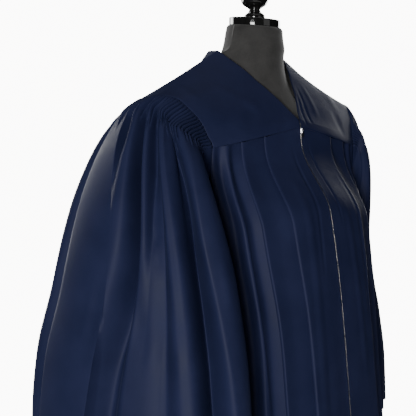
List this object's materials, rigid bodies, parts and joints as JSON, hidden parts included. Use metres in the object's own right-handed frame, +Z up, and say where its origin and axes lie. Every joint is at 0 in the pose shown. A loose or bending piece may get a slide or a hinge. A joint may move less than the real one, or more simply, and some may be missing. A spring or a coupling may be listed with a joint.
{
  "type": "graduation gown on a dress form",
  "caption": "Zipped graduation gown with a pointed front yoke, fluted bell sleeves and pleated panels, worn by a limbless dress form on a stand.",
  "frame": {"origin": "middle of the stand's flat underside", "axes": "+Z up along the stand, -Y the way the gown's front faces, +X towards the wearer's left"},
  "size_m": [0.8809, 0.6695, 1.5823],
  "materials": {
    "navy_gown_cloth": "smooth satin-matt weave",
    "black_form_cloth": "matt stretched cloth",
    "gloss_black_wood": "gloss lacquer",
    "navy_zip_tape": "matt woven tape",
    "bright_zip_metal": "bright plated",
    "black_stand_metal": "satin black"
  },
  "bodies": {
    "gown_and_form": {"yoke_front_right": "navy_gown_cloth", "yoke_front_left": "navy_gown_cloth", "yoke_back": "navy_gown_cloth", "front_right": "navy_gown_cloth", "front_left": "navy_gown_cloth", "back_panel": "navy_gown_cloth", "sleeve_right": "navy_gown_cloth", "sleeve_left": "navy_gown_cloth", "dress_form": "black_form_cloth", "form_cap": "gloss_black_wood", "form_finial": "gloss_black_wood", "stand_pole": "black_stand_metal", "stand_foot": "black_stand_metal", "zip_tape_right": "navy_zip_tape", "zip_tape_left": "navy_zip_tape", "zip_slider": "bright_zip_metal"},
    "pull_tab": {"zip_pull_tab": "bright_zip_metal"}
  },
  "joints": [
    {"name": "pull_tab_hinge", "type": "hinge", "parent": "gown_and_form", "child": "pull_tab", "pos_m": [0, -0.13058, 1.29908], "axis": [-1, 0, 0], "range_deg": [0, 150]}
  ]
}
